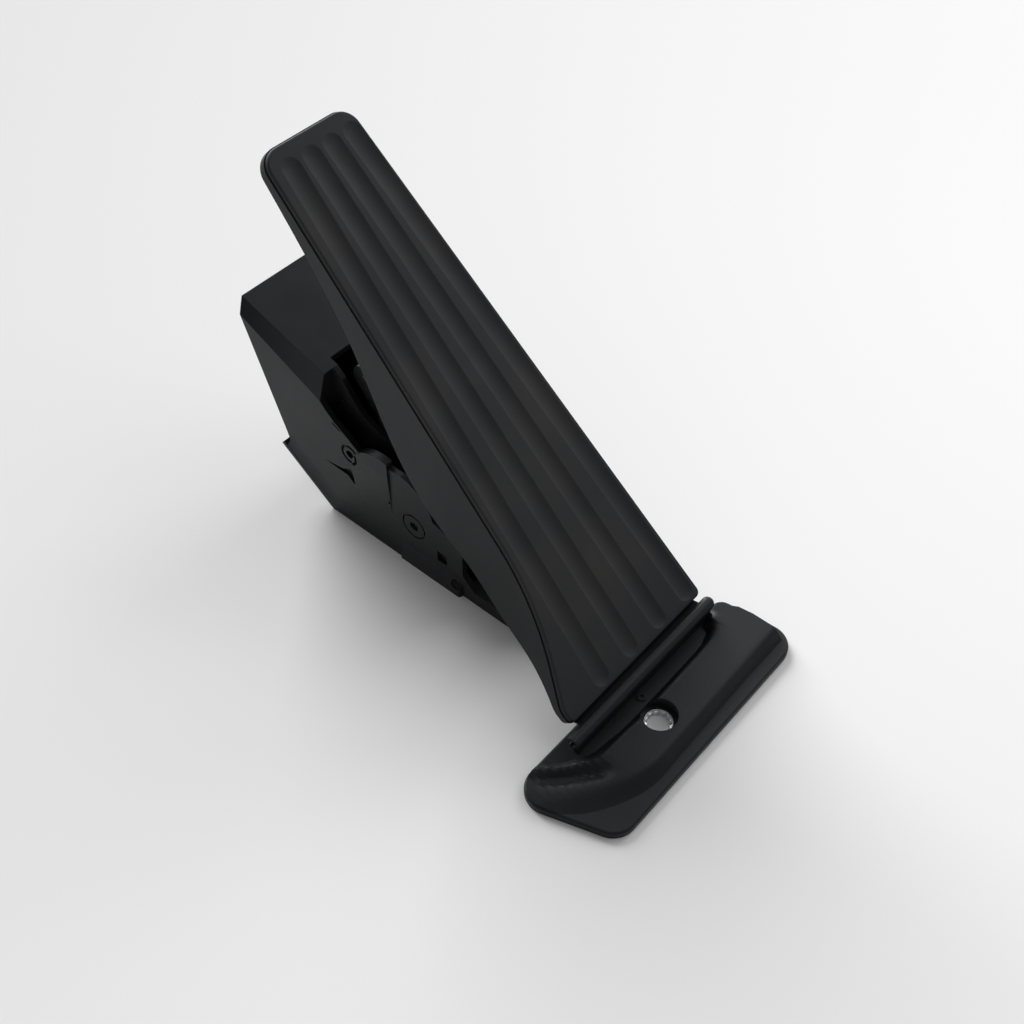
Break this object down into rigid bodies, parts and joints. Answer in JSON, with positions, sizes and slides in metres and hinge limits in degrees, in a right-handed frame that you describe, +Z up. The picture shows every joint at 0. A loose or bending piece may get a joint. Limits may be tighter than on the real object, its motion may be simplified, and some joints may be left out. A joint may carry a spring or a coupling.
{
  "type": "accelerator pedal",
  "caption": "Floor-mounted electronic accelerator pedal: ribbed tread on a skirted plate, hinged on a foot plate and linked to a sensor lever in a moulded housing",
  "frame": {"origin": "on the axis of the foot bolt's hole, at the level of the floor", "axes": "X to the right across the pedal, Y from the foot towards the housing, Z up; the pedal is at rest"},
  "size_m": [0.1245, 0.2368, 0.173],
  "materials": {
    "housing_plastic": "matt, fine spark-eroded grain",
    "pedal_plastic": "matt, fine grain",
    "tread": "matt soft moulding, slightly worn",
    "inner_plastic": "smooth, slightly dull",
    "bearing_plastic": "natural acetal",
    "zinc_steel": "bright zinc plating",
    "spring_steel": "phosphated spring wire",
    "stop_rubber": "plain black rubber",
    "board": "solder-masked board",
    "chip": "moulded epoxy",
    "magnet": "sintered ferrite",
    "contact": "tinned brass"
  },
  "bodies": {
    "base": {"base_housing": "housing_plastic", "foot_bush": "zinc_steel", "side_cover": "housing_plastic", "cover_screws": "zinc_steel", "sensor_lid": "housing_plastic", "circuit_board": "board", "hall_sensors": "chip", "connector_pins": "contact", "left_bearing_bush": "bearing_plastic", "right_bearing_bush": "bearing_plastic", "outer_spring": "spring_steel", "inner_spring": "spring_steel", "spring_seat": "inner_plastic", "friction_shoe": "bearing_plastic", "rest_stop_pad": "stop_rubber"},
    "pedal": {"pedal_plate": "pedal_plastic", "tread_pad": "tread", "hinge_strip": "pedal_plastic", "end_stop_buffer": "stop_rubber", "upper_link_pin": "zinc_steel"},
    "lever": {"kick_lever": "inner_plastic", "lever_shaft": "zinc_steel", "lower_link_pin": "zinc_steel", "sensor_magnet": "magnet", "spring_cap": "inner_plastic"},
    "link": {"push_link": "inner_plastic"}
  },
  "joints": [
    {"name": "pedal_press", "type": "hinge", "parent": "base", "child": "pedal", "pos_m": [0, 0.015, 0.0128], "axis": [-1, 0, 0], "range_deg": [0, 16], "stiffness_Nm_per_rad": 12, "springref_deg": -11.46},
    {"name": "lever_swing", "type": "hinge", "parent": "base", "child": "lever", "pos_m": [0, 0.1238, 0.0238], "axis": [-1, 0, 0], "range_deg": [0, 24.3], "deforming": ["outer_spring", "inner_spring"]},
    {"name": "link_swing", "type": "hinge", "parent": "pedal", "child": "link", "pos_m": [0, 0.10397, 0.07899], "axis": [1, 0, 0], "range_deg": [0, 23.3]}
  ],
  "couplings": [
    {"joint": "lever_swing", "follows": "pedal_press", "ratio": 1.515},
    {"joint": "link_swing", "follows": "pedal_press", "ratio": 1.452}
  ]
}
